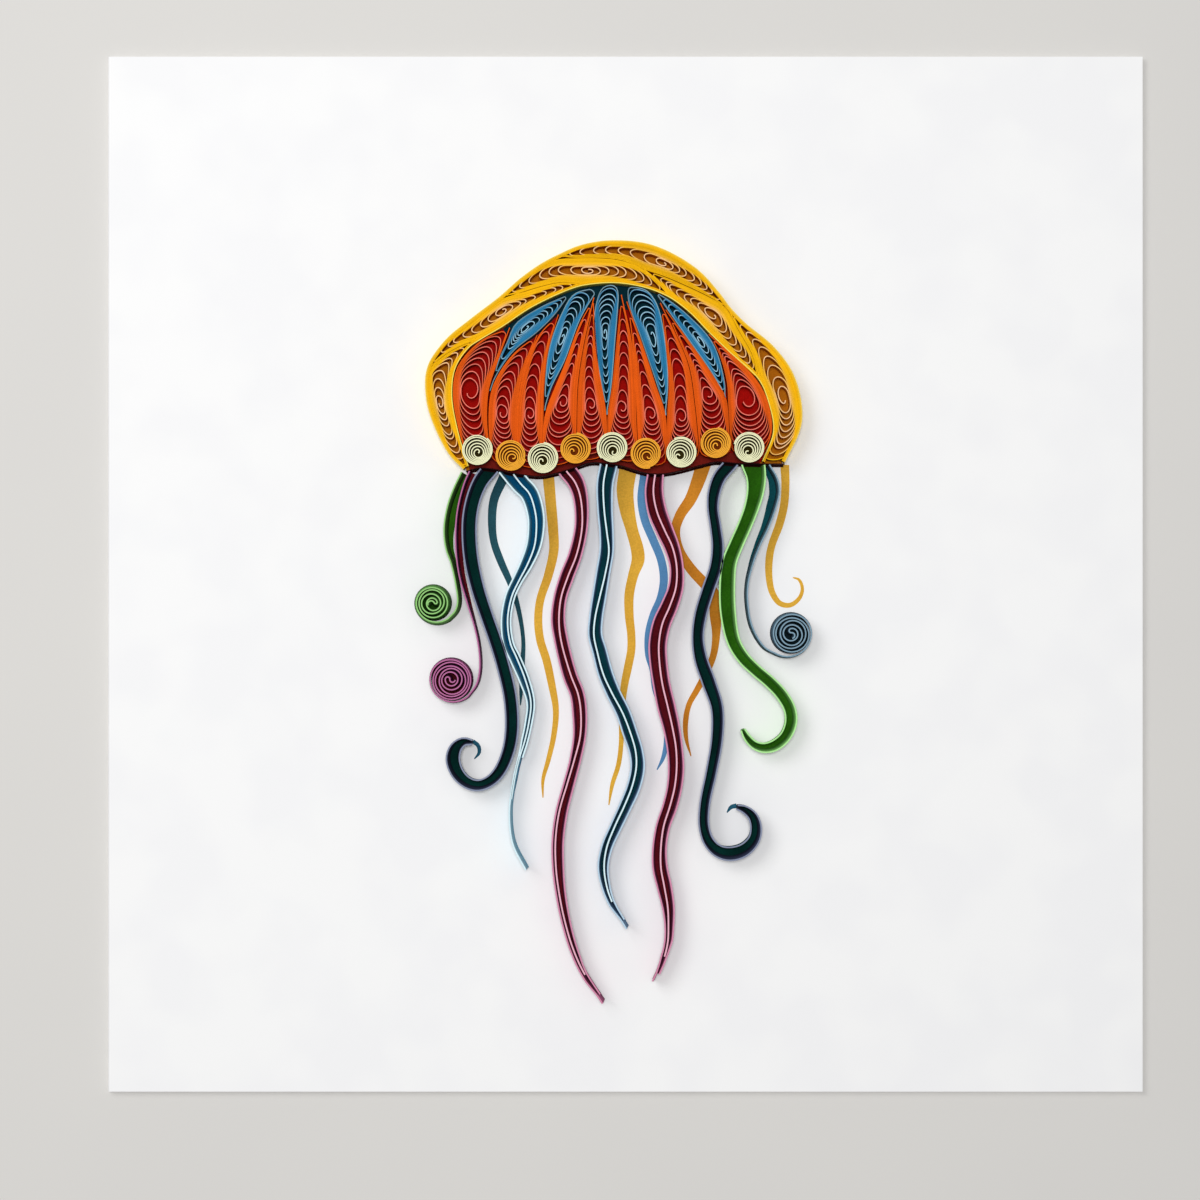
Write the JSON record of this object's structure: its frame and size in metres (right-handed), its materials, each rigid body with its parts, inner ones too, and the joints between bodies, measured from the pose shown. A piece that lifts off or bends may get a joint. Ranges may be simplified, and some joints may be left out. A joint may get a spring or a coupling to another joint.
{
  "type": "quilled greeting card",
  "caption": "Square folded white card lying closed, with a jellyfish of coiled and curved paper strips standing on edge on its front.",
  "frame": {"origin": "middle of the back panel, on the surface that the card lies on", "axes": "+Z out of the card's front, +Y up and +X right as the card is read, fold along the -X edge"},
  "size_m": [0.1524, 0.1524, 0.0059],
  "materials": {
    "apricot_paper": "matt paper",
    "blue_ink": "matt print",
    "blue_paper": "matt paper",
    "card_stock": "matt uncoated card",
    "coral_paper": "matt paper",
    "cream_paper": "matt paper",
    "green_ink": "matt print",
    "green_paper": "matt paper",
    "maroon_ink": "matt print",
    "mauve_paper": "matt paper",
    "orange_ink": "matt print",
    "pale_blue_paper": "matt paper",
    "pink_paper": "matt paper",
    "sky_ink": "matt print",
    "slate_paper": "matt paper",
    "teal_ink": "matt print",
    "wine_paper": "matt paper",
    "yellow_ink": "matt print",
    "yellow_paper": "matt paper"
  },
  "bodies": {
    "root": {"blue_print": "blue_ink", "card": "card_stock", "cream_bead_01": "cream_paper", "cream_bead_03": "cream_paper", "cream_bead_05": "cream_paper", "cream_bead_07": "cream_paper", "cream_bead_09": "cream_paper", "green_print": "green_ink", "hem_strip": "wine_paper", "maroon_print": "maroon_ink", "orange_bead_02": "apricot_paper", "orange_bead_04": "apricot_paper", "orange_bead_06": "apricot_paper", "orange_bead_08": "apricot_paper", "orange_print": "orange_ink", "petal_coil_01": "coral_paper", "petal_coil_02": "coral_paper", "petal_coil_03": "coral_paper", "petal_coil_04": "coral_paper", "petal_coil_05": "coral_paper", "petal_coil_06": "coral_paper", "petal_coil_07": "coral_paper", "petal_coil_08": "coral_paper", "petal_coil_09": "coral_paper", "petal_coil_10": "coral_paper", "rim_coil_01": "yellow_paper", "rim_coil_02": "yellow_paper", "rim_coil_03": "yellow_paper", "rim_coil_04": "yellow_paper", "rim_coil_05": "yellow_paper", "rim_coil_06": "yellow_paper", "sky_print": "sky_ink", "teal_print": "teal_ink", "teardrop_coil_01": "blue_paper", "teardrop_coil_02": "blue_paper", "teardrop_coil_03": "blue_paper", "teardrop_coil_04": "blue_paper", "teardrop_coil_05": "blue_paper", "tentacle_01_green": "green_paper", "tentacle_02_mauve": "mauve_paper", "tentacle_03_teal_a": "slate_paper", "tentacle_03_teal_b": "slate_paper", "tentacle_04_blue_a": "pale_blue_paper", "tentacle_04_blue_b": "pale_blue_paper", "tentacle_04_blue_c": "pale_blue_paper", "tentacle_05_maroon_a": "pink_paper", "tentacle_05_maroon_b": "pink_paper", "tentacle_05_maroon_c": "pink_paper", "tentacle_06_teal_a": "slate_paper", "tentacle_06_teal_b": "slate_paper", "tentacle_06_teal_c": "slate_paper", "tentacle_07_maroon_a": "pink_paper", "tentacle_07_maroon_b": "pink_paper", "tentacle_07_maroon_c": "pink_paper", "tentacle_08_teal_a": "slate_paper", "tentacle_08_teal_b": "slate_paper", "tentacle_09_green_a": "green_paper", "tentacle_09_green_b": "green_paper", "tentacle_10_blue": "pale_blue_paper", "yellow_print": "yellow_ink"}
  },
  "joints": []
}
